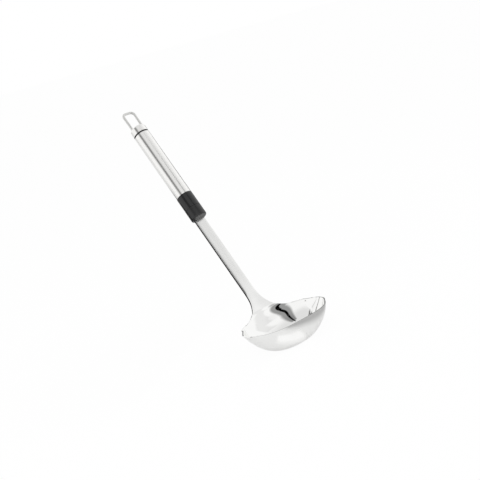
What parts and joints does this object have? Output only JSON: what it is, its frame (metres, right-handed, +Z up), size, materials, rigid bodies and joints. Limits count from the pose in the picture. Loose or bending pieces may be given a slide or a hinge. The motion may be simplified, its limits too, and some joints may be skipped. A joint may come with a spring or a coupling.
{
  "type": "soup ladle",
  "caption": "Serving ladle with an oval double-lipped steel bowl on a slanted strip stem, a dark collar and a round tubular handle ending in a fixed hanging loop.",
  "frame": {"origin": "middle of the bowl's flat base, on the surface that the bowl would touch", "axes": "+Z up with the rim level, +X along the bowl from lip to lip, +Y towards the handle"},
  "size_m": [0.1021, 0.2177, 0.2498],
  "materials": {
    "polished_steel": "polished stainless steel",
    "satin_steel": "fine satin stainless steel, brushed round its girth",
    "cap_steel": "turned satin stainless steel",
    "wire_steel": "satin stainless steel wire",
    "pin_steel": "plain",
    "dark_plastic": "satin moulded plastic",
    "core_plastic": "plain moulded plastic",
    "black_rubber": "matt"
  },
  "bodies": {
    "root": {"bowl_and_stem": "polished_steel", "front_ferrule": "dark_plastic", "tang_core": "core_plastic", "tang_pin": "pin_steel", "handle_tube": "satin_steel", "seal_ring": "black_rubber", "rear_plug": "core_plastic", "end_cap": "cap_steel", "hanging_loop": "wire_steel"}
  },
  "joints": []
}
